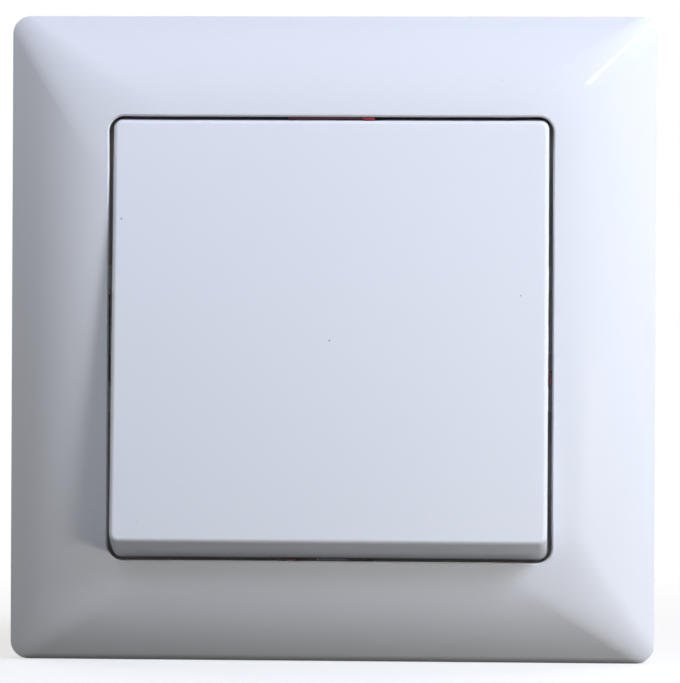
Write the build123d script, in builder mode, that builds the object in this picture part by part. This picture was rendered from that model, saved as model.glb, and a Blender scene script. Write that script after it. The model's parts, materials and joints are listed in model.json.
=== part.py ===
from build123d import *

import os
from math import asin, cos, degrees, hypot, isclose, radians, sin, sqrt

# A flush-mounted rocker light switch, in millimetres. X runs to the right and Z up, and the switch faces -Y.
# The wall's surface is the plane Y = 0. Every height is measured out of the wall, so parts in the wall box
# have heights below zero.

# Rocker cap
cap_width = 55.0
cap_wall = 1.8
cap_depth = 5.3
cap_corner = 1.1
cap_edge = 0.6
side_gap = 0.4
end_gap = 0.6
pivot_height = -1.4
face_reach = 12.7
swing = 9.0

# Cover frame
frame_size = 82.0
frame_height = 9.5
edge_height = 3.5
edge_slope = 44.0
frame_corner = 2.3
ridge_spread = 0.5
frame_wall = 1.9
opening_corner = 1.8
opening_draft = 16.0
opening_bevel = 0.3
crown_sections = 6
rib_thickness = 1.2
rib_foot = 0.6
rib_offsets = (-24.0, -12.0, 12.0, 24.0)
catch_thickness = 1.2
catch_width = 12.0
catch_nose = 0.9
catch_lip = 0.6

# Latch ring
ring_gap = 0.45
ring_band = 2.2
ring_headroom = 1.5
ring_thickness = 1.6
ring_corner = 3.0
tongue_width = 11.0
tongue_thickness = 1.2
tongue_chamfer = 0.3
ring_foot_radius = 2.2
ring_foot_shift = 0.55
peg_radius = 1.9
peg_short = 0.15

# Mounting plate
plate_thickness = 1.0
plate_corner = 5.0
fold_length = 44.0
fold_height = 2.0
bend_radius = 0.4
relief_width = 1.0
relief_depth = 2.0
box_screw_pitch = 60.0
slot_length = 7.0
slot_width = 3.8
slot_margin = 1.5
ear_thickness = 1.0
ear_margin = 1.8
ear_relief = 3.0

# Mechanism body
body_width = 35.0
body_height = 41.0
body_corner = 3.0
tray_side_wall = 2.1
tray_end_wall = 1.6
flange_lip = 1.0
flange_thickness = 1.4
flange_round = 0.4
deck_height = -4.8
deck_thickness = 1.4
deck_window_width = 8.0
deck_window_height = 9.4
deck_window_corner = 1.1
snap_offset = 6.0
snap_width = 8.0
snap_thickness = 1.2
snap_reach = 4.8
snap_nose = 0.7
snap_nose_height = 1.5
housing_side_wall = 1.8
housing_end_wall = 2.2
housing_back = 2.0
housing_depth = 23.0
housing_round = 0.8
partition = 1.0
partition_top = -9.0

# Rocker carrier
carrier_width = 30.0
carrier_height = 36.0
carrier_thickness = 1.6
carrier_corner = 1.1
carrier_rib = 1.2
carrier_rib_depth = 2.2
carrier_rib_reach = 15.0
cheek_thickness = 2.0
cheek_gap = 0.6
cheek_radius = 2.6
trunnion_radius = 1.5
sleeve_radius = 3.4
sleeve_bore = 2.2
sleeve_reach = 7.0
hook_x = 9.5
hook_u = 12.0
hook_width = 3.6
hook_thickness = 1.6
hook_nose = 0.9
hook_foot = 1.1
cap_rib_x = 6.0
cap_rib_thickness = 1.2
cross_rib_u = 20.0
cross_rib_depth = 2.0

# Plunger and spring
plunger_reach = 11.0
nose_radius = 1.0
nose_arc = 60.0
plunger_shoulder = 8.4
plunger_top = 4.2
spigot_radius = 1.2
spigot_length = 1.5
spring_wire = 0.45
spring_radius = 1.65
spring_turns = 5
wire_sides = 6

# Contacts
lever_gap = 0.25
lever_thickness = 0.9
lever_width = 5.0
lever_contact_arm = 12.6
lever_short_arm = 6.0
lever_swing = 15.0
lever_guide_gap = 0.5
lever_guide_rise = 1.8
lever_corner = 1.5
knife_radius = 0.35
groove_radius = 0.6
groove_depth = 0.15
rivet_arm = 11.0
rivet_radius = 1.5
rivet_shank = 0.8
rivet_head = 0.9
rivet_back = 0.4
rivet_back_radius = 1.2
rivet_dome = 8.0
contact_gap = 0.15
strip = 0.8
riser_arm = 6.6

# Terminals
terminal_x = 8.3
terminal_inset = 6.5
block_width = 7.0
block_depth = 8.0
block_inner = 2.2
block_outer = 4.0
block_round = 0.7
wire_radius = 1.5
strip_hole = 1.7
wire_guide = 1.8
wire_lead_in = 0.8
terminal_shank = 1.6
terminal_head = 2.9
terminal_head_height = 1.5
terminal_tip_gap = 0.3
head_hole = 3.2
slot_cut = 0.8
screw_chamfer = 0.3

# Claws and their screws
claw_x = 27.0
claw_pivot_height = -4.5
claw_sheet = 1.2
claw_bend = 0.8
claw_width = 9.8
claw_arm = 14.5
claw_short_arm = 7.4
claw_hook = 1.6
claw_lug = 1.0
tooth_pitch = 3.2
tooth_depth = 1.2
claw_screw_x = 21.5
claw_screw_radius = 1.4
claw_screw_head = 2.6
claw_screw_head_height = 1.9
claw_screw_travel = 2.4
claw_tip_gap = 0.25

# Fits
running = 0.05
loose = 0.1
clear = 0.3
seat_gap = 0.2
cut_margin = 1.0

# Sizes that follow from the ones above
tilt = swing / 2
opening = cap_width + 2 * side_gap
plate_size = box_screw_pitch + slot_length + 2 * slot_margin
cap_reach = hypot(opening / 2 - end_gap, frame_height - pivot_height)
skirt_base = face_reach - cap_depth
carrier_top = skirt_base - seat_gap
carrier_floor = carrier_top - carrier_thickness
cap_base_half = sqrt(cap_reach**2 - skirt_base**2)
cap_swing_reach = cap_base_half * cos(radians(tilt)) + skirt_base * sin(radians(tilt))
crown_radius = (frame_height - edge_height) / (1 - cos(radians(edge_slope)))
crown_inset = crown_radius * sin(radians(edge_slope))
crown_centre = frame_height - crown_radius
ring_inner = 2 * (cap_swing_reach + ring_gap)
ring_outer = ring_inner + 2 * ring_band
ring_foot_place = ring_inner / 2 + ring_foot_shift
window_width = body_width + 2 * clear
window_height = body_height + 2 * clear
tray_floor = deck_height - deck_thickness
flange_top = plate_thickness + flange_thickness
housing_floor = housing_back - housing_depth
terminal_z = body_height / 2 - terminal_inset
lever_height = pivot_height - plunger_reach - lever_gap - lever_thickness - groove_depth
lever_tilt = -lever_swing / 2
strip_top = housing_floor + strip
screw_height = strip_top + block_depth / 2
ear_place = claw_width / 2 + clear + ear_thickness / 2
ear_reach = claw_lug + ear_margin
inner_slope = degrees(asin((crown_inset - frame_wall) / (crown_radius - frame_wall)))


def wall_plane(height):
    """Plane parallel to the wall, facing out, at a height above the wall."""
    return Plane.XZ.offset(height)


def tilted_plane(height, angle):
    """Plane through the centre line at a height, with its upper side tipped in by an angle."""
    turn = radians(angle)
    return Plane(origin=(0, -height, 0), x_dir=(1, 0, 0), z_dir=(0, -cos(turn), sin(turn)))


def section_plane(base):
    """Plane square to X through the origin of another: its x runs up and its y runs out."""
    return Plane(origin=base.origin, x_dir=base.y_dir, z_dir=base.x_dir)


def crown_height(reach, wall):
    """Height of the frame's crown at a distance from the centre line, moved inwards by a wall."""
    sine = (crown_inset - (frame_size / 2 - reach)) / (crown_radius - wall)
    return crown_centre + (crown_radius - wall) * sqrt(1 - max(sine, 0) ** 2)


def crown(wall, first_slope):
    """Cushion-shaped crown whose ridges grow softer towards the middle, moved inwards by a wall."""
    with BuildPart() as shape:
        for step in range(crown_sections + 1):
            slope = radians(first_slope * (1 - step / crown_sections))
            inset = crown_inset - (crown_radius - wall) * sin(slope)
            height = crown_centre + (crown_radius - wall) * cos(slope)
            side = frame_size - 2 * inset
            with BuildSketch(wall_plane(height)):
                RectangleRounded(side, side, frame_corner + ridge_spread * inset - wall)
        loft()
    return shape.part


def rocker_profile(reach, face, base):
    """Section of the rocker: a flat face between two ends that are arcs about the pivot."""
    face_angle = degrees(asin(face / reach))
    base_angle = degrees(asin(base / reach))
    half_face = sqrt(reach**2 - face**2)
    half_base = sqrt(reach**2 - base**2)
    with BuildSketch(section_plane(rocker_plane)) as profile:
        with BuildLine():
            Line((-half_face, face), (half_face, face))
            CenterArc((0, 0), reach, base_angle, face_angle - base_angle)
            Line((half_base, base), (-half_base, base))
            CenterArc((0, 0), reach, 180 - face_angle, face_angle - base_angle)
        make_face()
    return profile.sketch


def body_outline(width, height, corner):
    """Rectangle with its corners cut off, as the mechanism has to go into a round wall box."""
    with BuildSketch(Plane.XY) as outline:
        Rectangle(width, height)
        chamfer(outline.vertices(), corner)
    return outline.sketch


def terminal_plane(way):
    """Plane that faces away from the middle along a terminal's screw: way 1 is the upper one."""
    return Plane(origin=(way * terminal_x, -screw_height, 0), x_dir=(way, 0, 0), z_dir=(0, 0, way))


def save(piece, name):
    """Label a finished piece and write it."""
    piece.label = name
    export_step(piece, f"parts/{name}.step")


rocker_plane = tilted_plane(pivot_height, tilt)
lever_plane = tilted_plane(lever_height, lever_tilt)
ring_floor = crown_height(ring_outer / 2, frame_wall) - ring_headroom - ring_thickness
os.makedirs("parts", exist_ok=True)


# The cover frame's hollow, less the ribs and the catches that stay in it
with BuildPart() as frame_hollow:
    inner_size = frame_size - 2 * frame_wall
    with BuildSketch(wall_plane(0)):
        RectangleRounded(inner_size, inner_size, frame_corner + ridge_spread * frame_wall - frame_wall)
    extrude(amount=crown_centre + (crown_radius - frame_wall) * cos(radians(inner_slope)))
    add(crown(frame_wall, inner_slope))
    rib_inner = plate_size / 2 + clear
    rib_outer = frame_size / 2 - frame_wall / 2
    with BuildSketch(wall_plane(rib_foot)):
        with PolarLocations((rib_inner + rib_outer) / 2, 4):
            with Locations([(0, offset) for offset in rib_offsets]):
                Rectangle(rib_outer - rib_inner, rib_thickness)
    extrude(amount=frame_height, mode=Mode.SUBTRACT)
    catch_place = ring_outer / 2 + seat_gap + catch_thickness / 2
    catch_foot = ring_floor - loose - catch_lip
    with BuildSketch(wall_plane(catch_foot)):
        with PolarLocations(catch_place, 4):
            Rectangle(catch_thickness, catch_width)
    extrude(amount=frame_height, mode=Mode.SUBTRACT)
    with BuildSketch(wall_plane(catch_foot)):
        with PolarLocations(catch_place - catch_nose / 2, 4):
            Rectangle(catch_thickness + catch_nose, catch_width)
    extrude(amount=catch_lip, mode=Mode.SUBTRACT)

with BuildPart() as cover_frame:
    with BuildSketch(wall_plane(0)):
        RectangleRounded(frame_size, frame_size, frame_corner)
    extrude(amount=edge_height)
    add(crown(0, edge_slope))
    add(frame_hollow.part, mode=Mode.SUBTRACT)
    with BuildSketch(wall_plane(frame_height)):
        RectangleRounded(opening, opening, opening_corner)
    extrude(amount=-frame_height, taper=-opening_draft, mode=Mode.SUBTRACT)
    chamfer(cover_frame.edges(Select.LAST).group_by(Axis.Y)[0], opening_bevel)
save(cover_frame.part, "cover_frame")


# The rocker cap: a hollow moulding with stiffening ribs and four hooks
with BuildPart() as rocker_cap:
    extrude(rocker_profile(cap_reach, face_reach, skirt_base), amount=cap_width / 2, both=True)
    fillet(rocker_cap.edges().filter_by(GeomType.CIRCLE), cap_corner)
    front = rocker_cap.faces().sort_by(Axis(rocker_plane.origin, rocker_plane.z_dir))[-1]
    fillet(front.edges(), cap_edge)
    hollow = rocker_profile(cap_reach - cap_wall, face_reach - cap_wall, skirt_base - cap_wall)
    extrude(hollow, amount=cap_width / 2 - cap_wall, both=True, mode=Mode.SUBTRACT)
    rib_length = 2 * sqrt((cap_reach - cap_wall) ** 2 - (face_reach - cap_wall) ** 2) + cap_wall / 2
    with BuildSketch(rocker_plane.offset(carrier_top)):
        with Locations((-cap_rib_x, 0), (cap_rib_x, 0)):
            Rectangle(cap_rib_thickness, rib_length)
    extrude(amount=face_reach - cap_wall / 2 - carrier_top)
    with BuildSketch(rocker_plane.offset(face_reach - cap_wall - cross_rib_depth)):
        with Locations((0, -cross_rib_u), (0, cross_rib_u)):
            Rectangle(cap_width - cap_wall, cap_rib_thickness)
    extrude(amount=cross_rib_depth + cap_wall / 2)
    hook_base = carrier_floor - loose - hook_foot
    for side in (-1, 1):
        with BuildSketch(rocker_plane.offset(hook_base)):
            with Locations((-hook_x, side * hook_u), (hook_x, side * hook_u)):
                Rectangle(hook_width, hook_thickness)
        extrude(amount=face_reach - cap_wall / 2 - hook_base)
        with BuildSketch(rocker_plane.offset(hook_base)):
            nose_place = side * (hook_u + hook_nose / 2)
            with Locations((-hook_x, nose_place), (hook_x, nose_place)):
                Rectangle(hook_width, hook_thickness + hook_nose)
        extrude(amount=hook_foot)
save(rocker_cap.part, "rocker_cap")


# The red latch ring: a raised band on four feet, with a tongue at the middle of each side
with BuildPart() as latch_ring:
    with BuildSketch(wall_plane(ring_floor)):
        RectangleRounded(ring_outer, ring_outer, ring_corner)
        RectangleRounded(ring_inner, ring_inner, ring_corner - ring_band, mode=Mode.SUBTRACT)
    extrude(amount=ring_thickness)
    tongue_top = crown_height(ring_inner / 2 + tongue_thickness, frame_wall) - clear
    with BuildSketch(wall_plane(ring_floor)):
        with PolarLocations(ring_inner / 2 + tongue_thickness / 2, 4):
            Rectangle(tongue_thickness, tongue_width)
    extrude(amount=tongue_top - ring_floor)
    chamfer(latch_ring.faces().group_by(Axis.Y)[0].edges(), tongue_chamfer)
    with BuildSketch(wall_plane(plate_thickness)):
        with GridLocations(2 * ring_foot_place, 2 * ring_foot_place, 2, 2):
            Circle(ring_foot_radius)
    extrude(amount=ring_floor + ring_thickness - plate_thickness)
    with BuildSketch(wall_plane(peg_short)):
        with GridLocations(2 * ring_foot_place, 2 * ring_foot_place, 2, 2):
            Circle(peg_radius)
    extrude(amount=ring_floor)
save(latch_ring.part, "latch_ring")


# The mounting plate: folded steel with two pairs of box-screw slots and the claws' ears
with BuildPart() as mounting_plate:
    with BuildSketch(wall_plane(0)):
        RectangleRounded(plate_size, plate_size, plate_corner)
        add(body_outline(window_width, window_height, body_corner), mode=Mode.SUBTRACT)
        with Locations((-box_screw_pitch / 2, 0), (box_screw_pitch / 2, 0)):
            SlotOverall(slot_length, slot_width, mode=Mode.SUBTRACT)
        with Locations((0, -box_screw_pitch / 2), (0, box_screw_pitch / 2)):
            SlotOverall(slot_length, slot_width, rotation=90, mode=Mode.SUBTRACT)
        with GridLocations(2 * ring_foot_place, 2 * ring_foot_place, 2, 2):
            Circle(peg_radius + loose, mode=Mode.SUBTRACT)
        with GridLocations(2 * claw_screw_x, 0, 2, 1):
            Circle(claw_screw_radius + running, mode=Mode.SUBTRACT)
        with GridLocations(2 * claw_x, 2 * ear_place + ear_thickness + ear_relief, 2, 2):
            Rectangle(2 * ear_reach, ear_relief, mode=Mode.SUBTRACT)
        with GridLocations(fold_length + relief_width, plate_size, 2, 2):
            Rectangle(relief_width, 2 * relief_depth, mode=Mode.SUBTRACT)
    extrude(amount=plate_thickness)
    with BuildSketch(wall_plane(0)):
        with GridLocations(0, plate_size - plate_thickness, 1, 2):
            Rectangle(fold_length, plate_thickness)
    extrude(amount=plate_thickness + fold_height)
    for level, radius in ((1, bend_radius), (-1, bend_radius + plate_thickness)):
        fold_edges = mounting_plate.edges().filter_by(lambda edge: isclose(edge.length, fold_length))
        fillet(fold_edges.group_by(Axis.Y)[level], radius)
    for side in (-1, 1):
        with BuildSketch(Plane.XY):
            with Locations((side * claw_x, -claw_pivot_height)):
                Circle(ear_reach)
            with Locations((side * claw_x, -claw_pivot_height / 2)):
                Rectangle(2 * ear_reach, -claw_pivot_height)
            with Locations((side * claw_x, -claw_pivot_height)):
                Circle(claw_lug + running, mode=Mode.SUBTRACT)
        extrude(amount=ear_place + ear_thickness / 2, both=True)
        with BuildSketch(Plane.XZ):
            with Locations((side * claw_x, 0)):
                Rectangle(2 * ear_reach + 2 * cut_margin, 2 * ear_place - ear_thickness)
        extrude(amount=claw_pivot_height - ear_reach - cut_margin, mode=Mode.SUBTRACT)
save(mounting_plate.part, "mounting_plate")


# The front tray of the mechanism, with the rocker's bearings, a flange on the plate and two snap arms
with BuildPart() as housing_cover:
    with BuildSketch(wall_plane(tray_floor)):
        add(body_outline(body_width, body_height, body_corner))
    extrude(amount=flange_top - tray_floor)
    with BuildSketch(wall_plane(plate_thickness)):
        add(body_outline(body_width + 2 * flange_lip, body_height + 2 * flange_lip, body_corner))
    extrude(amount=flange_thickness)
    fillet(housing_cover.faces().sort_by(Axis.Y)[0].edges(), flange_round)
    with BuildSketch(wall_plane(deck_height)):
        tray_width = body_width - 2 * tray_side_wall
        tray_height = body_height - 2 * tray_end_wall
        add(body_outline(tray_width, tray_height, body_corner - tray_end_wall / 2))
    extrude(amount=flange_top - deck_height, mode=Mode.SUBTRACT)
    with BuildSketch(wall_plane(tray_floor)):
        RectangleRounded(deck_window_width, deck_window_height, deck_window_corner)
    extrude(amount=deck_thickness, mode=Mode.SUBTRACT)
    with BuildSketch(section_plane(wall_plane(pivot_height))):
        Circle(trunnion_radius + running)
    extrude(amount=body_width, both=True, mode=Mode.SUBTRACT)
    for way in (-1, 1):
        arm_place = way * (body_height / 2 - snap_thickness / 2)
        nose_place = way * (body_height / 2 - (snap_thickness + snap_nose) / 2)
        with BuildSketch(wall_plane(tray_floor - snap_reach)):
            with Locations((-way * snap_offset, arm_place)):
                Rectangle(snap_width, snap_thickness)
        extrude(amount=snap_reach + deck_thickness)
        with BuildSketch(wall_plane(tray_floor - snap_reach)):
            with Locations((-way * snap_offset, nose_place)):
                Rectangle(snap_width, snap_thickness + snap_nose)
        extrude(amount=snap_nose_height)
save(housing_cover.part, "housing_cover")


# The back housing: contact chamber, two terminal chambers, wire entries and screw holes
with BuildPart() as switch_housing:
    with BuildSketch(wall_plane(-housing_depth)):
        add(body_outline(body_width, body_height, body_corner))
    extrude(amount=housing_depth + tray_floor)
    fillet(switch_housing.faces().sort_by(Axis.Y)[-1].edges(), housing_round)
    with BuildSketch(wall_plane(housing_floor)):
        chamber_width = body_width - 2 * housing_side_wall
        chamber_height = body_height - 2 * housing_end_wall
        add(body_outline(chamber_width, chamber_height, body_corner - housing_side_wall / 2))
    extrude(amount=tray_floor - housing_floor, mode=Mode.SUBTRACT)
    for side in (-1, 1):
        with BuildSketch(wall_plane(housing_floor)):
            with Locations((side * (lever_width / 2 + lever_guide_gap + partition / 2), 0)):
                Rectangle(partition, 2 * cheek_radius)
        extrude(amount=lever_height - housing_floor + lever_guide_rise)
    block_low = terminal_z - block_inner
    for way in (-1, 1):
        wall_x = terminal_x - block_width / 2 - clear - partition / 2
        chamber_end = chamber_height / 2
        wall_z = block_low - clear - partition / 2
        with BuildSketch(wall_plane(strip_top + seat_gap)):
            with Locations((way * wall_x, way * (wall_z + chamber_end) / 2)):
                Rectangle(partition, chamber_end - wall_z + partition)
            with Locations((way * (wall_x + chamber_width / 2) / 2, way * wall_z)):
                Rectangle(chamber_width / 2 - wall_x + partition, partition)
        extrude(amount=partition_top - strip_top - seat_gap)
        with BuildSketch(wall_plane(-housing_depth)):
            with Locations((way * terminal_x, way * terminal_z)):
                Circle(wire_guide)
        extrude(amount=housing_back, mode=Mode.SUBTRACT)
        with BuildSketch(wall_plane(-housing_depth)):
            with Locations((way * terminal_x, way * terminal_z)):
                Circle(wire_guide + wire_lead_in)
        extrude(amount=wire_lead_in, taper=45, mode=Mode.SUBTRACT)
        with BuildSketch(terminal_plane(way).offset(chamber_height / 2 - cut_margin)):
            Circle(head_hole)
        extrude(amount=housing_end_wall + 2 * cut_margin, mode=Mode.SUBTRACT)
        groove = snap_thickness + loose
        groove_reach = snap_reach + clear
        with BuildSketch(wall_plane(tray_floor - groove_reach)):
            with Locations((-way * snap_offset, way * (body_height / 2 - groove / 2))):
                Rectangle(snap_width + 2 * clear, groove)
        extrude(amount=groove_reach, mode=Mode.SUBTRACT)
        with BuildSketch(wall_plane(tray_floor - groove_reach)):
            with Locations((-way * snap_offset, way * body_height / 2)):
                Rectangle(snap_width + 2 * clear, 2 * housing_end_wall)
        extrude(amount=snap_nose_height + 2 * clear, mode=Mode.SUBTRACT)
save(switch_housing.part, "switch_housing")


# The rocker carrier: plate, two cheeks with trunnions and the spring's sleeve
with BuildPart() as rocker_carrier:
    with BuildSketch(rocker_plane.offset(carrier_floor)):
        RectangleRounded(carrier_width, carrier_height, carrier_corner)
        for side in (-1, 1):
            with Locations((-hook_x, side * hook_u), (hook_x, side * hook_u)):
                Rectangle(hook_width + 2 * clear, hook_thickness + 2 * clear, mode=Mode.SUBTRACT)
    extrude(amount=carrier_thickness)
    cheek_outer = body_width / 2 - tray_side_wall - cheek_gap
    with BuildSketch(rocker_plane.offset(carrier_floor - carrier_rib_depth)):
        Rectangle(2 * cheek_outer - cheek_thickness, carrier_rib)
        Rectangle(carrier_rib, 2 * carrier_rib_reach)
    extrude(amount=carrier_rib_depth)
    for side in (-1, 1):
        cheek_face = section_plane(rocker_plane).offset(side * (cheek_outer - cheek_thickness))
        with BuildSketch(cheek_face):
            Circle(cheek_radius)
            with Locations((0, carrier_floor / 2)):
                Rectangle(2 * cheek_radius, carrier_floor)
        extrude(amount=side * cheek_thickness)
        with BuildSketch(cheek_face):
            Circle(trunnion_radius)
        extrude(amount=side * (body_width / 2 - seat_gap - cheek_outer + cheek_thickness))
    with BuildSketch(rocker_plane.offset(-sleeve_reach)):
        Circle(sleeve_radius)
    extrude(amount=sleeve_reach + carrier_floor)
    with BuildSketch(rocker_plane.offset(-sleeve_reach)):
        Circle(sleeve_bore)
    extrude(amount=sleeve_reach + carrier_floor, mode=Mode.SUBTRACT)
save(rocker_carrier.part, "rocker_carrier")


# The plunger: a turned shape with a round nose, a guided shank and a spigot for the spring
with BuildPart() as toggle_plunger:
    plunger_radius = sleeve_bore - loose
    nose_start = (0, -plunger_reach)
    nose_turn = radians(nose_arc - 90)
    nose_end = (nose_radius * cos(nose_turn), nose_radius * (1 + sin(nose_turn)) - plunger_reach)
    with BuildSketch(section_plane(rocker_plane)):
        with BuildLine():
            CenterArc((0, nose_radius - plunger_reach), nose_radius, -90, nose_arc)
            Polyline(
                nose_end,
                (plunger_radius, -plunger_shoulder),
                (plunger_radius, -plunger_top),
                (spigot_radius, -plunger_top),
                (spigot_radius, spigot_length - plunger_top),
                (0, spigot_length - plunger_top),
                nose_start,
            )
        make_face()
    revolve(axis=Axis(rocker_plane.origin, rocker_plane.z_dir))
save(toggle_plunger.part, "toggle_plunger")


# The spring that drives the plunger against the contact lever
with BuildPart() as toggle_spring:
    spring_length = carrier_floor + plunger_top - spring_wire - 2 * running
    coil_foot = rocker_plane.offset(spring_wire / 2 + running - plunger_top).origin
    with BuildLine() as coil:
        Helix(
            spring_length / spring_turns,
            spring_length,
            spring_radius,
            center=coil_foot,
            direction=rocker_plane.z_dir,
        )
    with BuildSketch(Plane(coil.line @ 0, z_dir=coil.line % 0)):
        RegularPolygon(spring_wire / 2, wire_sides)
    sweep(is_frenet=True)
save(toggle_spring.part, "toggle_spring")


# The contact lever: a brass rocker with a groove that sits on the knife edge
with BuildPart() as contact_lever:
    with BuildSketch(section_plane(lever_plane)):
        with Locations(((lever_short_arm - lever_contact_arm) / 2, groove_depth + lever_thickness / 2)):
            Rectangle(lever_short_arm + lever_contact_arm, lever_thickness)
        Circle(groove_radius, mode=Mode.SUBTRACT)
    extrude(amount=lever_width / 2, both=True)
    lever_ends = contact_lever.edges().filter_by(Axis(lever_plane.origin, lever_plane.z_dir))
    fillet(lever_ends.group_by(Axis(lever_plane.origin, lever_plane.y_dir))[0], lever_corner)
    fillet(lever_ends.group_by(Axis(lever_plane.origin, lever_plane.y_dir))[-1], lever_corner / 2)
    with BuildSketch(lever_plane):
        with Locations((0, -rivet_arm)):
            Circle(rivet_shank + running)
    extrude(amount=groove_depth + lever_thickness + cut_margin, mode=Mode.SUBTRACT)
save(contact_lever.part, "contact_lever")


def contact_rivet(head_base, direction, through):
    """Domed contact rivet on the lever's slope: its head grows from head_base, its shank runs back."""
    dome = rivet_dome * direction
    seat = lever_plane.offset(head_base)
    side = section_plane(seat)
    rim = rivet_dome - sqrt(rivet_dome**2 - rivet_radius**2)
    with BuildPart() as rivet:
        with BuildSketch(side):
            with BuildLine():
                Polyline(
                    (-rivet_arm, direction * rivet_head),
                    (-rivet_arm, -direction * (through + rivet_back)),
                    (-rivet_arm + rivet_back_radius, -direction * (through + rivet_back)),
                    (-rivet_arm + rivet_back_radius, -direction * through),
                    (-rivet_arm + rivet_shank, -direction * through),
                    (-rivet_arm + rivet_shank, 0),
                    (-rivet_arm + rivet_radius, 0),
                    (-rivet_arm + rivet_radius, direction * (rivet_head - rim)),
                )
                RadiusArc(
                    (-rivet_arm + rivet_radius, direction * (rivet_head - rim)),
                    (-rivet_arm, direction * rivet_head),
                    -dome,
                )
            make_face()
        foot = seat.origin - seat.y_dir * rivet_arm
        revolve(axis=Axis(foot, seat.z_dir))
    return rivet.part


moving_contact = contact_rivet(groove_depth, -1, lever_thickness)
save(moving_contact, "moving_contact")

fixed_head_top = groove_depth - rivet_head - contact_gap
fixed_head_base = fixed_head_top - rivet_head
fixed_contact = contact_rivet(fixed_head_base, 1, strip)
save(fixed_contact, "fixed_contact")


# The common terminal's strip: a foot under the clamping block and a post with a knife edge for the lever
with BuildPart() as common_terminal:
    with BuildSketch(wall_plane(housing_floor)):
        with BuildLine():
            Polyline(
                (-lever_width / 2, -knife_radius),
                (lever_width / 2, -knife_radius),
                (lever_width / 2, block_low - lever_width),
                (terminal_x + block_width / 2, block_low - lever_width),
                (terminal_x + block_width / 2, terminal_z + block_outer),
                (terminal_x - block_width / 2, terminal_z + block_outer),
                (terminal_x - block_width / 2, block_low - strip),
                (-lever_width / 2, block_low - strip),
                close=True,
            )
        make_face()
        with Locations((terminal_x, terminal_z)):
            Circle(strip_hole, mode=Mode.SUBTRACT)
    extrude(amount=strip)
    with BuildSketch(section_plane(wall_plane(lever_height))):
        Circle(knife_radius)
        with Locations((0, (housing_floor - lever_height) / 2)):
            Rectangle(2 * knife_radius, lever_height - housing_floor)
    extrude(amount=lever_width / 2, both=True)
save(common_terminal.part, "common_terminal")


# The load terminal's strip: a foot under its block, a riser and a sloping pad under the lever's contact
with BuildPart() as fixed_contact_strip:
    pad_top = fixed_head_base
    pad_end = lever_plane.origin - lever_plane.y_dir * riser_arm + lever_plane.z_dir * (pad_top - strip / 2)
    riser_z = pad_end.Z
    with BuildSketch(wall_plane(housing_floor)):
        with BuildLine():
            Polyline(
                (lever_width / 2, riser_z + strip / 2),
                (lever_width / 2, -block_low + strip),
                (-terminal_x + block_width / 2, -block_low + strip),
                (-terminal_x + block_width / 2, -terminal_z - block_outer),
                (-terminal_x - block_width / 2, -terminal_z - block_outer),
                (-terminal_x - block_width / 2, riser_z + strip / 2),
                close=True,
            )
        make_face()
        with Locations((-terminal_x, -terminal_z)):
            Circle(strip_hole, mode=Mode.SUBTRACT)
    extrude(amount=strip)
    with BuildSketch(section_plane(wall_plane(0))):
        with BuildLine():
            Polyline(
                (riser_z - strip / 2, housing_floor),
                (riser_z + strip / 2, housing_floor),
                (riser_z + strip / 2, -pad_end.Y),
                (riser_z - strip / 2, -pad_end.Y),
                close=True,
            )
        make_face()
    extrude(amount=lever_width / 2, both=True)
    with BuildSketch(section_plane(lever_plane)):
        pad_length = lever_contact_arm - riser_arm + strip / 2
        with Locations((-lever_contact_arm + pad_length / 2, pad_top - strip / 2)):
            Rectangle(pad_length, strip)
    extrude(amount=lever_width / 2, both=True)
    with BuildSketch(lever_plane.offset(pad_top)):
        with Locations((0, -rivet_arm)):
            Circle(rivet_shank + running)
    extrude(amount=-strip - cut_margin, mode=Mode.SUBTRACT)
save(fixed_contact_strip.part, "fixed_contact_strip")


# The two clamping blocks, each with a wire bore and a screw hole that meets it
for way, name in ((1, "terminal_block_common"), (-1, "terminal_block_load")):
    with BuildPart() as terminal_block:
        with BuildSketch(wall_plane(strip_top)):
            with Locations((way * terminal_x, way * (terminal_z + (block_outer - block_inner) / 2))):
                Rectangle(block_width, block_inner + block_outer)
        extrude(amount=block_depth)
        fillet(terminal_block.edges().filter_by(Axis.Y), block_round)
        with BuildSketch(wall_plane(strip_top)):
            with Locations((way * terminal_x, way * terminal_z)):
                Circle(wire_radius)
        extrude(amount=block_depth, mode=Mode.SUBTRACT)
        with BuildSketch(terminal_plane(way).offset(terminal_z)):
            Circle(terminal_shank + running)
        extrude(amount=block_outer, mode=Mode.SUBTRACT)
    save(terminal_block.part, name)


# The two terminal screws, slotted, in one group
with BuildPart() as terminal_screws:
    tip_place = terminal_z + wire_radius + terminal_tip_gap
    head_place = terminal_z + block_outer + 2 * clear
    for way in (1, -1):
        axis_plane = terminal_plane(way)
        with BuildSketch(axis_plane.offset(tip_place)):
            Circle(terminal_shank)
        extrude(amount=head_place - tip_place)
        screw_axis = Axis(axis_plane.origin, axis_plane.z_dir)
        chamfer(terminal_screws.faces(Select.LAST).sort_by(screw_axis)[0].edges(), screw_chamfer)
        with BuildSketch(axis_plane.offset(head_place)):
            Circle(terminal_head)
        extrude(amount=terminal_head_height)
        chamfer(terminal_screws.faces(Select.LAST).sort_by(screw_axis)[-1].edges(), screw_chamfer)
        with BuildSketch(axis_plane.offset(head_place + terminal_head_height - slot_cut)):
            Rectangle(slot_cut, 2 * terminal_head + 2 * cut_margin)
        extrude(amount=slot_cut, mode=Mode.SUBTRACT)
save(terminal_screws.part, "terminal_screws")


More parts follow.
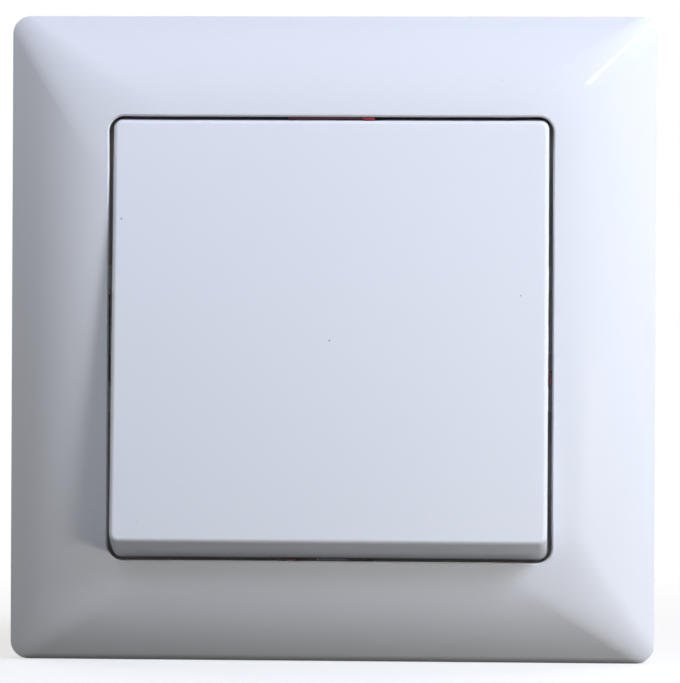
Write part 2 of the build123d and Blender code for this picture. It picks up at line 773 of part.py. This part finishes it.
# The claws, bent from sheet, and the screws that press on their short arms
for side, name in ((1, "right"), (-1, "left")):
    claw_plane = Plane(
        origin=(side * claw_x, -claw_pivot_height, 0), x_dir=(side, 0, 0), z_dir=(0, 0, -side)
    )
    with BuildPart() as claw:
        with BuildSketch(claw_plane):
            with BuildLine():
                FilletPolyline(
                    (-claw_short_arm, 0),
                    (0, 0),
                    (0, -claw_arm),
                    (claw_hook, -claw_arm - claw_hook),
                    radius=claw_bend,
                )
            trace(line_width=claw_sheet)
        extrude(amount=claw_width / 2, both=True)
        with BuildSketch(claw_plane):
            Circle(claw_lug)
        extrude(amount=ear_place + ear_thickness / 2 + clear, both=True)
        with BuildSketch(Plane.YZ.offset(side * claw_x)):
            with Locations([(claw_arm + claw_hook - claw_pivot_height, k * tooth_pitch) for k in (-1, 0, 1)]):
                Rectangle(sqrt(2) * tooth_depth, sqrt(2) * tooth_depth, rotation=45)
        extrude(amount=2 * claw_hook + cut_margin, both=True, mode=Mode.SUBTRACT)
    save(claw.part, f"claw_{name}")

    with BuildPart() as claw_screw:
        head_height = plate_thickness + claw_screw_travel + seat_gap
        tip_height = claw_pivot_height + claw_sheet / 2 + claw_tip_gap
        with BuildSketch(wall_plane(tip_height)):
            with Locations((side * claw_screw_x, 0)):
                Circle(claw_screw_radius)
        extrude(amount=head_height - tip_height)
        with BuildSketch(wall_plane(head_height)):
            with Locations((side * claw_screw_x, 0)):
                Circle(claw_screw_head)
        extrude(amount=claw_screw_head_height)
        chamfer(claw_screw.faces().sort_by(Axis.Y)[0].edges(), screw_chamfer)
        chamfer(claw_screw.faces().sort_by(Axis.Y)[-1].edges(), screw_chamfer)
        with BuildSketch(wall_plane(head_height + claw_screw_head_height - slot_cut)):
            with Locations((side * claw_screw_x, 0)):
                Rectangle(slot_cut, 2 * claw_screw_head + 2 * cut_margin)
        extrude(amount=slot_cut, mode=Mode.SUBTRACT)
    save(claw_screw.part, f"claw_screw_{name}")
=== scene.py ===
import json
from math import pi, radians, sqrt, tan

import bmesh
import bpy
from mathutils import Matrix, Vector


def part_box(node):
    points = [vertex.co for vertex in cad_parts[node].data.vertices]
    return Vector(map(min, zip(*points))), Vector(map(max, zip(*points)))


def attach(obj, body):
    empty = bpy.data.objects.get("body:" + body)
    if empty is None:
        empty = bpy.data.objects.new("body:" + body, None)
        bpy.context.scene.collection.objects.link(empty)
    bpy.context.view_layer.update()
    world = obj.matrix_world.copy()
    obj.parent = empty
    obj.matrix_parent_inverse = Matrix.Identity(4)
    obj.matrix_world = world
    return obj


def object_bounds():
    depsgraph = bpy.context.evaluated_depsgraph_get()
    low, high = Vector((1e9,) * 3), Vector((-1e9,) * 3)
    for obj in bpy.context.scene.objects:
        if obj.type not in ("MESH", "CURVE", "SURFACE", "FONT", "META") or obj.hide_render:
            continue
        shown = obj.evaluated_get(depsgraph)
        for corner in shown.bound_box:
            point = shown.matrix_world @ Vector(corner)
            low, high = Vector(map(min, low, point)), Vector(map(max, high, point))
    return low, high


# Looks of a flush-mounted rocker light switch, in metres. The switch faces -Y and the wall's surface is Y = 0.

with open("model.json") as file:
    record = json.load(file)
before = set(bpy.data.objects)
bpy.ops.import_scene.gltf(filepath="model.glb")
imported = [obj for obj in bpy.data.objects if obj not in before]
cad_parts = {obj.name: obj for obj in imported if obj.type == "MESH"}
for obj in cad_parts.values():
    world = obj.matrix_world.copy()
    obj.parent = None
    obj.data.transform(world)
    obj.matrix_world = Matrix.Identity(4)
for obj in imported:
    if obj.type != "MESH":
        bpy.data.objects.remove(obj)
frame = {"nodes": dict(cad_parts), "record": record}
cad_low, cad_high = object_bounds()
nodes = frame["nodes"]

MM = 0.001

# Camera: a long lens a little right of the middle, as the photograph's perspective shows. Angles are in degrees,
# the lens and the sensor in millimetres
CAMERA_PLACE = (33.0 * MM, -600.0 * MM, 3.0 * MM)
CAMERA_YAW = 3.074
CAMERA_PITCH = -0.32
CAMERA_ROLL = 0.282
LENS = 247.46
SENSOR_WIDTH = 36.0
CLIP_START = 0.01
CLIP_END = 50.0

# Thin lips on the latch ring's tongues, which rise into the gap round the rocker. Heights count from the wall.
# The radius is about the rocker's hinge, just clear of the cap's swing
HINGE_HEIGHT = -1.4 * MM
LIP_RADIUS = 29.52 * MM
LIP_FOOT = 6.8 * MM
LIP_HALF = 5.5 * MM
LIP_STEPS = 6
LIP_CLEARANCE = 0.07 * MM
NUB_START = 3.7 * MM
NUB_RAMP = 0.4 * MM
FOOT_TOP = 6.7 * MM
FOOT_BOTTOM = 6.4 * MM
TONGUE_INSIDE = 29.8 * MM

# Heights of each lip and of the nub at its clockwise end: top, right, bottom and left
LIP_HEIGHTS = ((8.65 * MM, 9.0 * MM), (8.0 * MM, 8.95 * MM), (8.0 * MM, 8.7 * MM), (8.0 * MM, 8.0 * MM))

# Wall of the frame's opening: its half width at the frame's height, and its draft in degrees
OPENING_HALF = 27.9 * MM
FRAME_HEIGHT = 9.5 * MM
OPENING_DRAFT = 16.0

# Screws. The thread fades out between two distances outside the shank. A band of the wave texture is
# WAVE_PERIOD wide at a scale of 1
THREAD_PITCH = 0.6 * MM
THREAD_DEPTH = 0.15 * MM
THREAD_FADE_START = 0.02 * MM
THREAD_FADE_END = 0.1 * MM
WAVE_PERIOD = pi / 10
CLAW_SHANK = 1.4 * MM
TERMINAL_SHANK = 1.6 * MM
TERMINAL_HEAD = 2.9 * MM

# Middle range of a noise texture's values
NOISE_LOW = 0.3
NOISE_HIGH = 0.7

# Reach over which a gap's walls darken a moulding's colour, as painted shade
PAINTED_SHADE_REACH = 1.5 * MM

# Dust specks: width of a cell that may hold one, its size as a share of that, and where its soft edge and the
# soft limit of the choice start, as shares of the size and of the limit
DUST_CELL = 2.4 * MM
DUST_SIZE = 0.055
DUST_CORE = 0.7
DUST_CHOICE = 0.98

# A mix node's colour sockets, by number
MIX_FIRST = 6
MIX_SECOND = 7
MIX_RESULT = 2

# Stage: the floor's half width, its drop below the switch, and its glow by distance; the wall behind the frame, a
# sheet of painted shade
FLOOR_HALF = 6.0
FLOOR_DROP = 0.02 * MM
GLOW_NEAR = 0.05
GLOW_FAR = 0.20
GLOW_LEAST = 0.5
STAGE_ROUGHNESS = 0.9
WALL_MARGIN = 1.0 * MM
WALL_LEVEL = 0.05 * MM

# Colours, linear
FRAME_WHITE = (0.76, 0.79, 0.83)
ROCKER_WHITE = (0.795, 0.83, 0.885)
LATCH_RED = (0.46, 0.026, 0.028)
# Painted shade: the latch red deep in a gap
RED_PAINTED_SHADE = (0.04, 0.006, 0.011)
ZINC = (0.56, 0.58, 0.60)
ZINC_WARM = (0.60, 0.57, 0.50)
THERMOSET_GREY = (0.52, 0.52, 0.50)
CARRIER_WHITE = (0.72, 0.72, 0.69)
PLUNGER_BLACK = (0.025, 0.025, 0.028)
SPRING_STEEL = (0.42, 0.42, 0.44)
BRASS = (0.66, 0.46, 0.17)
BRASS_DARK = (0.38, 0.25, 0.09)
SILVER = (0.80, 0.79, 0.76)
SCREW_YELLOW = (0.62, 0.55, 0.36)
DUST = (0.30, 0.29, 0.28)
FLOOR_GREY = (0.12, 0.12, 0.12)
# Painted shade: the sheet behind the frame, and its faint glow, which is painted bounce light
WALL_PAINTED_SHADE = (0.06, 0.06, 0.065)
WALL_PAINTED_BOUNCE_LIGHT = (0.048, 0.050, 0.056)
DAYLIGHT = (0.785, 0.835, 1.0)
ROOM_LIGHT = (1.0, 0.945, 0.855)
STAGE_WHITE = (1.0, 1.0, 1.0)

# Lamps: name, azimuth to the right of -Y and elevation in degrees, distance, width, height, level, colour,
# upward direction, and whether reflections show the lamp
UPRIGHT = (0, 0, 1)
SLANTED = (1, 0, 1)
LAMPS = (
    ("window", 55, 38, 0.30, 0.07, 0.10, 0.483, DAYLIGHT, UPRIGHT, False),
    ("window_side", 60, 30, 0.45, 0.14, 0.14, 0.350, DAYLIGHT, UPRIGHT, False),
    ("window_foot", 45, -8, 0.22, 0.06, 0.06, 0.50, ROOM_LIGHT, UPRIGHT, False),
    ("fill_above", -35, 40, 0.16, 0.05, 0.05, 0.211, DAYLIGHT, UPRIGHT, False),
    ("fill_left", -60, 20, 0.45, 0.14, 0.14, 0.10, ROOM_LIGHT, UPRIGHT, False),
    ("fill_foot", -55, -8, 0.45, 0.14, 0.14, 0.07, ROOM_LIGHT, UPRIGHT, False),
    ("streak", 47.6, 37.9, 0.90, 0.035, 0.88, 0.138, DAYLIGHT, SLANTED, True),
    ("behind_right", 140, 25, 0.60, 0.40, 0.40, 0.45, ROOM_LIGHT, UPRIGHT, False),
    ("behind_left", -140, 25, 0.60, 0.40, 0.40, 0.45, ROOM_LIGHT, UPRIGHT, False),
)


def add_object(name, data):
    """New object in the scene for a mesh, a camera or a lamp."""
    thing = bpy.data.objects.new(name, data)
    bpy.context.scene.collection.objects.link(thing)
    return thing


def scaled(colour, factor):
    """Colour times a factor."""
    return tuple(c * factor for c in colour)


def material(name):
    """New material: its node tree's nodes and links, and its shader."""
    mat = bpy.data.materials.new(name)
    mat.use_nodes = True
    tree = mat.node_tree
    return mat, tree.nodes, tree.links, tree.nodes["Principled BSDF"]


def noise(nodes, links, vector, scale, detail=2.0, roughness=0.5):
    """Noise texture over a vector socket: its value. The scale is in features per metre."""
    tex = nodes.new("ShaderNodeTexNoise")
    tex.inputs["Scale"].default_value = scale
    tex.inputs["Detail"].default_value = detail
    tex.inputs["Roughness"].default_value = roughness
    links.new(vector, tex.inputs["Vector"])
    return tex.outputs["Fac"]


def ramp(nodes, links, value, low, high, low_out=0.0, high_out=1.0):
    """Maps low to high onto an output range, clamped."""
    node = nodes.new("ShaderNodeMapRange")
    node.inputs["From Min"].default_value = low
    node.inputs["From Max"].default_value = high
    node.inputs["To Min"].default_value = low_out
    node.inputs["To Max"].default_value = high_out
    links.new(value, node.inputs["Value"])
    return node.outputs["Result"]


def combine(nodes, links, operation, first, second):
    """One value from two sockets by a math operation."""
    node = nodes.new("ShaderNodeMath")
    node.operation = operation
    links.new(first, node.inputs[0])
    links.new(second, node.inputs[1])
    return node.outputs["Value"]


def vector_math(nodes, links, operation, vector, constant=None):
    """Vector math node over a socket and, where it takes one, a constant."""
    node = nodes.new("ShaderNodeVectorMath")
    node.operation = operation
    links.new(vector, node.inputs[0])
    if constant is not None:
        node.inputs[1].default_value = constant
    return node


def blend_colour(nodes, links, share, first, second):
    """Mixes two colours by a share from 0 to 1. Each is a colour or a socket."""
    mix = nodes.new("ShaderNodeMix")
    mix.data_type = "RGBA"
    links.new(share, mix.inputs["Factor"])
    for number, colour in ((MIX_FIRST, first), (MIX_SECOND, second)):
        if isinstance(colour, tuple):
            mix.inputs[number].default_value = (*colour, 1.0)
        else:
            links.new(colour, mix.inputs[number])
    return mix.outputs[MIX_RESULT]


def blend_surface(nodes, links, share, first, second):
    """The material's surface: two shaders mixed by a share from 0 to 1."""
    mixer = nodes.new("ShaderNodeMixShader")
    links.new(share, mixer.inputs["Fac"])
    links.new(first, mixer.inputs[1])
    links.new(second, mixer.inputs[2])
    links.new(mixer.outputs["Shader"], nodes["Material Output"].inputs["Surface"])


def vary_roughness(nodes, links, shader, value, low, high):
    """Roughness from low to high over the middle range of a noise."""
    links.new(ramp(nodes, links, value, NOISE_LOW, NOISE_HIGH, low, high), shader.inputs["Roughness"])


def bump(nodes, links, height, distance, normal):
    """Bump node over a height socket and a normal, with the distance in metres."""
    node = nodes.new("ShaderNodeBump")
    node.inputs["Distance"].default_value = distance
    links.new(height, node.inputs["Height"])
    links.new(normal, node.inputs["Normal"])
    return node.outputs["Normal"]


def soft_edges(nodes, radius):
    """Rounded edges by the bevel node, for sheet and mouldings."""
    node = nodes.new("ShaderNodeBevel")
    node.samples = 6
    node.inputs["Radius"].default_value = radius
    return node.outputs["Normal"]


def painted_shade_openness(nodes, links, low, high):
    """How open a place is, from 0 deep in a gap to 1 in the open: the mask for painted shade in gaps."""
    node = nodes.new("ShaderNodeAmbientOcclusion")
    node.samples = 8
    node.inputs["Distance"].default_value = PAINTED_SHADE_REACH
    return ramp(nodes, links, node.outputs["AO"], low, high)


def dust_specks(nodes, links, place, share):
    """1 in a few small specks, 0 elsewhere: cells of a Voronoi texture, of which only a share hold a speck."""
    cells = nodes.new("ShaderNodeTexVoronoi")
    cells.inputs["Scale"].default_value = 1.0 / DUST_CELL
    links.new(place, cells.inputs["Vector"])
    spot = ramp(nodes, links, cells.outputs["Distance"], DUST_SIZE * DUST_CORE, DUST_SIZE, 1.0, 0.0)
    split = nodes.new("ShaderNodeSeparateColor")
    links.new(cells.outputs["Color"], split.inputs["Color"])
    chosen = ramp(nodes, links, split.outputs["Red"], share * DUST_CHOICE, share, 1.0, 0.0)
    return combine(nodes, links, "MULTIPLY", spot, chosen)


def thread_turns(nodes, links, place, along, centre, radius):
    """Turns of a screw's thread: bands along its axis, on the shank alone.

    The centre is a point of the axis without its signs, so that a mirrored pair shares it.
    """
    turns = nodes.new("ShaderNodeTexWave")
    turns.bands_direction = along
    turns.inputs["Scale"].default_value = WAVE_PERIOD / THREAD_PITCH
    links.new(place, turns.inputs["Vector"])
    unsigned = vector_math(nodes, links, "ABSOLUTE", place).outputs["Vector"]
    across = (1, 0, 1) if along == "Y" else (1, 1, 0)
    flat = vector_math(nodes, links, "MULTIPLY", unsigned, across).outputs["Vector"]
    off = vector_math(nodes, links, "DISTANCE", flat, centre).outputs["Value"]
    shank = ramp(nodes, links, off, radius + THREAD_FADE_START, radius + THREAD_FADE_END, 1.0, 0.0)
    return combine(nodes, links, "MULTIPLY", turns.outputs["Fac"], shank)


def gloss_white(name, colour, roughness, speck_share):
    """Polished white moulding: faint flow in its colour, slight waviness, and dust. Painted shade darkens it deep
    in a gap.
    """
    mat, n, links, shader = material(name)
    place = n.new("ShaderNodeTexCoord").outputs["Object"]
    flow = noise(n, links, place, scale=55.0, detail=3.0)
    tone = blend_colour(n, links, flow, scaled(colour, 0.985), colour)
    specks = dust_specks(n, links, place, speck_share)
    dusty = blend_colour(n, links, specks, tone, DUST)
    # Painted shade: deep in a gap the colour falls towards a fifth of itself
    clear_of_painted_shade = painted_shade_openness(n, links, low=0.15, high=0.5)
    links.new(blend_colour(n, links, clear_of_painted_shade, scaled(colour, 0.2), dusty), shader.inputs["Base Color"])
    smear = noise(n, links, place, scale=140.0, detail=4.0, roughness=0.6)
    vary_roughness(n, links, shader, smear, low=roughness * 0.85, high=roughness * 1.2)
    wave = noise(n, links, place, scale=900.0)
    edges = soft_edges(n, radius=0.12 * MM)
    links.new(bump(n, links, wave, distance=0.0012 * MM, normal=edges), shader.inputs["Normal"])
    shader.inputs["IOR"].default_value = 1.5
    shader.inputs["Subsurface Weight"].default_value = 0.04
    shader.inputs["Subsurface Radius"].default_value = (1.0, 0.95, 0.9)
    shader.inputs["Subsurface Scale"].default_value = 0.5 * MM
    return mat


def gloss_red(name):
    """Red inner moulding, a little scuffed. Painted shade darkens it deep in a gap."""
    mat, n, links, shader = material(name)
    place = n.new("ShaderNodeTexCoord").outputs["Object"]
    flow = noise(n, links, place, scale=120.0, detail=4.0)
    tone = blend_colour(n, links, flow, scaled(LATCH_RED, 0.8), LATCH_RED)
    # Painted shade: deep in a gap the red falls to a dark red
    clear_of_painted_shade = painted_shade_openness(n, links, low=0.45, high=0.85)
    links.new(blend_colour(n, links, clear_of_painted_shade, RED_PAINTED_SHADE, tone), shader.inputs["Base Color"])
    vary_roughness(n, links, shader, flow, low=0.24, high=0.36)
    grain = noise(n, links, place, scale=2500.0)
    edges = soft_edges(n, radius=0.15 * MM)
    links.new(bump(n, links, grain, distance=0.004 * MM, normal=edges), shader.inputs["Normal"])
    return mat


def thermoset(name, colour, fleck, roughness):
    """Pressed thermoset or natural moulding: speckled, with a fine eroded texture."""
    mat, n, links, shader = material(name)
    place = n.new("ShaderNodeTexCoord").outputs["Object"]
    cloud = noise(n, links, place, scale=60.0, detail=5.0, roughness=0.6)
    tone = blend_colour(n, links, cloud, scaled(colour, 0.93), colour)
    fine = noise(n, links, place, scale=4200.0)
    flecks = ramp(n, links, fine, low=0.62, high=0.70, high_out=fleck)
    links.new(blend_colour(n, links, flecks, tone, scaled(colour, 0.55)), shader.inputs["Base Color"])
    vary_roughness(n, links, shader, cloud, low=roughness * 0.9, high=roughness * 1.12)
    grain = noise(n, links, place, scale=2600.0, detail=3.0)
    edges = soft_edges(n, radius=0.18 * MM)
    links.new(bump(n, links, grain, distance=0.012 * MM, normal=edges), shader.inputs["Normal"])
    return mat


def metal(name, bright, dull, roughness, stretch=(1.0, 1.0, 1.0), mottle=90.0, edge=0.12 * MM, thread=None):
    """Plated or drawn metal: mottled between a bright and a dull colour, with fine rolling lines.

    A thread is given by its axis, centre and radius.
    """
    mat, n, links, shader = material(name)
    place = n.new("ShaderNodeTexCoord").outputs["Object"]
    cloud = noise(n, links, place, scale=mottle, detail=5.0, roughness=0.6)
    share = ramp(n, links, cloud, low=0.35, high=0.65)
    links.new(blend_colour(n, links, share, dull, bright), shader.inputs["Base Color"])
    mapping = n.new("ShaderNodeMapping")
    mapping.inputs["Scale"].default_value = stretch
    links.new(place, mapping.inputs["Vector"])
    lines = noise(n, links, mapping.outputs["Vector"], scale=1800.0, detail=3.0)
    vary_roughness(n, links, shader, lines, low=roughness * 0.8, high=roughness * 1.25)
    normal = soft_edges(n, edge)
    if thread:
        normal = bump(n, links, thread_turns(n, links, place, *thread), THREAD_DEPTH, normal)
    links.new(bump(n, links, lines, distance=0.004 * MM, normal=normal), shader.inputs["Normal"])
    shader.inputs["Metallic"].default_value = 1.0
    return mat


def screw_metal(name, thread):
    """Yellow passivated steel of a screw, with its thread."""
    return metal(name, SCREW_YELLOW, ZINC, roughness=0.3, mottle=320.0, edge=0.08 * MM, thread=thread)


def black_moulding(name):
    """Black low-friction moulding with a polished look from sliding."""
    mat, n, links, shader = material(name)
    place = n.new("ShaderNodeTexCoord").outputs["Object"]
    wear = noise(n, links, place, scale=400.0, detail=3.0)
    tone = blend_colour(n, links, wear, PLUNGER_BLACK, scaled(PLUNGER_BLACK, 1.8))
    links.new(tone, shader.inputs["Base Color"])
    vary_roughness(n, links, shader, wear, low=0.25, high=0.45)
    links.new(soft_edges(n, radius=0.1 * MM), shader.inputs["Normal"])
    return mat


claw_low, claw_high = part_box("claw_screw_right")
claw_centre = ((claw_low.x + claw_high.x) / 2, 0.0, abs(claw_low.z + claw_high.z) / 2)
pair_low, pair_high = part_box("terminal_screws")
pair_centre = (pair_high.x - TERMINAL_HEAD, abs(pair_low.y + pair_high.y) / 2, 0.0)

finishes = {
    "frame_white": gloss_white("frame_white_gloss", FRAME_WHITE, roughness=0.07, speck_share=0.012),
    "rocker_white": gloss_white("rocker_white_gloss", ROCKER_WHITE, roughness=0.17, speck_share=0.035),
    "latch_red": gloss_red("latch_red_moulding"),
    "zinc_plate": metal("zinc_sheet", ZINC, ZINC_WARM, roughness=0.55, stretch=(1.0, 1.0, 0.08), mottle=140.0),
    "housing_grey": thermoset("housing_thermoset", THERMOSET_GREY, fleck=0.5, roughness=0.5),
    "carrier_white": thermoset("carrier_moulding", CARRIER_WHITE, fleck=0.1, roughness=0.42),
    "plunger_black": black_moulding("plunger_moulding"),
    "spring_steel": metal("spring_wire", SPRING_STEEL, SPRING_STEEL, roughness=0.25, edge=0.02 * MM),
    "contact_brass": metal(
        "pressed_brass", BRASS, BRASS_DARK, roughness=0.28, stretch=(0.1, 1.0, 1.0), mottle=260.0, edge=0.08 * MM
    ),
    "contact_silver": metal("silver_rivet", SILVER, scaled(SILVER, 0.8), roughness=0.22, edge=0.05 * MM),
    "screw_steel": screw_metal("passivated_screw", ("Y", claw_centre, CLAW_SHANK)),
    "claw_steel": metal(
        "claw_strip", ZINC, scaled(ZINC, 0.85), roughness=0.36, stretch=(1.0, 0.1, 1.0), mottle=200.0, edge=0.1 * MM
    ),
}

for part in frame["record"]["subparts"]:
    piece = nodes[part["node"]]
    piece.data.materials.clear()
    piece.data.materials.append(finishes[part["material_slot"]])
nodes["terminal_screws"].data.materials[0] = screw_metal("terminal_screw", ("Z", pair_centre, TERMINAL_SHANK))


def lip_section(along, top):
    """Section at a place along a lip: up its inner face, down its outer one and out into the tongue."""
    heights = [LIP_FOOT + step * (top - LIP_FOOT) / LIP_STEPS for step in range(LIP_STEPS + 1)]
    inner = [(sqrt(LIP_RADIUS**2 - (height - HINGE_HEIGHT) ** 2), height) for height in heights]
    draft = tan(radians(OPENING_DRAFT))
    outer = [
        (OPENING_HALF + (FRAME_HEIGHT - height) * draft - LIP_CLEARANCE, height) for height in reversed(heights[1:])
    ]
    foot = [(TONGUE_INSIDE, FOOT_TOP), (TONGUE_INSIDE, FOOT_BOTTOM)]
    return [Vector((along, -height, reach)) for reach, height in inner + outer + foot]


def latch_lips():
    """Thin lips of the latch ring's four tongues, each with a nub at its clockwise end, apart from the left one."""
    shape = bmesh.new()
    for side, (top, nub) in enumerate(LIP_HEIGHTS):
        steps = ((-LIP_HALF, top), (NUB_START, top), (NUB_START + NUB_RAMP, nub), (LIP_HALF, nub))
        turn = Matrix.Rotation(side * pi / 2, 4, "Y")
        rings = [[shape.verts.new(turn @ point) for point in lip_section(along, height)] for along, height in steps]
        for near, far in zip(rings, rings[1:]):
            for k in range(len(near)):
                after = (k + 1) % len(near)
                shape.faces.new((near[k], near[after], far[after], far[k]))
        shape.faces.new(rings[0])
        shape.faces.new(rings[-1])
    bmesh.ops.recalc_face_normals(shape, faces=shape.faces)
    mesh = bpy.data.meshes.new("latch_lips")
    shape.to_mesh(mesh)
    shape.free()
    mesh.materials.append(finishes["latch_red"])
    lips = add_object("latch_lips", mesh)
    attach(lips, "switch_body")


def place_camera():
    """Camera at the photograph's viewing angle."""
    data = bpy.data.cameras.new("camera")
    data.lens = LENS
    data.sensor_width = SENSOR_WIDTH
    data.clip_start = CLIP_START
    data.clip_end = CLIP_END
    camera = add_object("camera", data)
    yaw = Matrix.Rotation(radians(CAMERA_YAW), 4, "Z")
    pitch = Matrix.Rotation(radians(90 + CAMERA_PITCH), 4, "X")
    roll = Matrix.Rotation(radians(CAMERA_ROLL), 4, "Z")
    camera.matrix_world = Matrix.Translation(CAMERA_PLACE) @ yaw @ pitch @ roll
    bpy.context.scene.camera = camera


def soft_box(name, azimuth, elevation, distance, width, height, level, colour, up, seen):
    """Rectangular lamp that faces the switch: it lights a surface turned to it at a level, where 1 is full."""
    data = bpy.data.lights.new(name, "AREA")
    data.shape = "RECTANGLE"
    data.size = width
    data.size_y = height
    data.energy = level * (pi * distance) ** 2
    data.color = colour
    lamp = add_object(name, data)
    swing = Matrix.Rotation(radians(azimuth), 3, "Z") @ Matrix.Rotation(radians(-elevation), 3, "X")
    place = swing @ Vector((0, -distance, 0))
    back = place.normalized()
    side = Vector(up).cross(back).normalized()
    turn = Matrix((side, back.cross(side), back)).transposed()
    lamp.matrix_world = Matrix.Translation(place) @ turn.to_4x4()
    lamp.visible_camera = False
    lamp.visible_glossy = seen


def seen_share(nodes, links):
    """1 for what the camera, a reflection or glass shows, 0 for light that falls on things."""
    path = nodes.new("ShaderNodeLightPath")
    direct = combine(nodes, links, "MAXIMUM", path.outputs["Is Camera Ray"], path.outputs["Is Glossy Ray"])
    return combine(nodes, links, "MAXIMUM", direct, path.outputs["Is Transmission Ray"])


def studio_world():
    """World that the camera and reflections see as white, and that gives no light of its own."""
    world = bpy.data.worlds.new("studio")
    bpy.context.scene.world = world
    world.use_nodes = True
    n, links = world.node_tree.nodes, world.node_tree.links
    light = n["Background"]
    light.inputs["Color"].default_value = (*STAGE_WHITE, 1.0)
    links.new(seen_share(n, links), light.inputs["Strength"])


def pale_floor():
    """Plain floor under the switch. The camera and reflections see it pale, and it keeps the shadow."""
    level = cad_low.z - FLOOR_DROP
    corners = [(x * FLOOR_HALF, y * FLOOR_HALF, level) for x, y in ((-1, -1), (1, -1), (1, 1), (-1, 1))]
    mesh = bpy.data.meshes.new("floor")
    mesh.from_pydata(corners, [], [(0, 1, 2, 3)])
    mat, n, links, shader = material("floor_paper")
    seen = seen_share(n, links)
    links.new(blend_colour(n, links, seen, FLOOR_GREY, STAGE_WHITE), shader.inputs["Base Color"])
    shader.inputs["Roughness"].default_value = STAGE_ROUGHNESS
    shader.inputs["Specular IOR Level"].default_value = 0.0
    place = n.new("ShaderNodeNewGeometry").outputs["Position"]
    length = vector_math(n, links, "LENGTH", place).outputs["Value"]
    glow = ramp(n, links, length, GLOW_NEAR, GLOW_FAR, GLOW_LEAST, 1.0)
    emission = n.new("ShaderNodeEmission")
    emission.inputs["Color"].default_value = (*STAGE_WHITE, 1.0)
    share = combine(n, links, "MULTIPLY", glow, seen)
    blend_surface(n, links, share, shader.outputs["BSDF"], emission.outputs["Emission"])
    mesh.materials.append(mat)
    floor = add_object("floor", mesh)


def painted_shade_wall():
    """Dark sheet of painted shade behind the cover frame, as the switch sits on its box, with a hole for the
    housing.

    Only the camera sees it, from the front. Its faint glow is painted bounce light.
    """
    half = cad_high.x - WALL_MARGIN
    body_low, body_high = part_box("housing_cover")
    xs = (-half, body_low.x, body_high.x, half)
    zs = (-half, body_low.z, body_high.z, half)
    corners = [(x, WALL_LEVEL, z) for z in zs for x in xs]
    starts = [4 * row + column for row in range(3) for column in range(3) if (row, column) != (1, 1)]
    faces = [(start, start + 1, start + 5, start + 4) for start in starts]
    mesh = bpy.data.meshes.new("painted_shade_wall")
    mesh.from_pydata(corners, [], faces)
    mat, n, links, shader = material("wall_painted_shade")
    shader.inputs["Base Color"].default_value = (*WALL_PAINTED_SHADE, 1.0)
    shader.inputs["Roughness"].default_value = STAGE_ROUGHNESS
    # Painted bounce light: a faint glow on the sheet
    shader.inputs["Emission Color"].default_value = (*WALL_PAINTED_BOUNCE_LIGHT, 1.0)
    shader.inputs["Emission Strength"].default_value = 1.0
    behind = n.new("ShaderNodeNewGeometry").outputs["Backfacing"]
    clear = n.new("ShaderNodeBsdfTransparent").outputs["BSDF"]
    blend_surface(n, links, behind, shader.outputs["BSDF"], clear)
    mesh.materials.append(mat)
    shade = add_object("painted_shade_wall", mesh)
    shade.visible_shadow = shade.visible_diffuse = shade.visible_glossy = False


latch_lips()
place_camera()
studio_world()
pale_floor()
painted_shade_wall()
for lamp in LAMPS:
    soft_box(*lamp)

bpy.context.scene.view_settings.view_transform = "Standard"
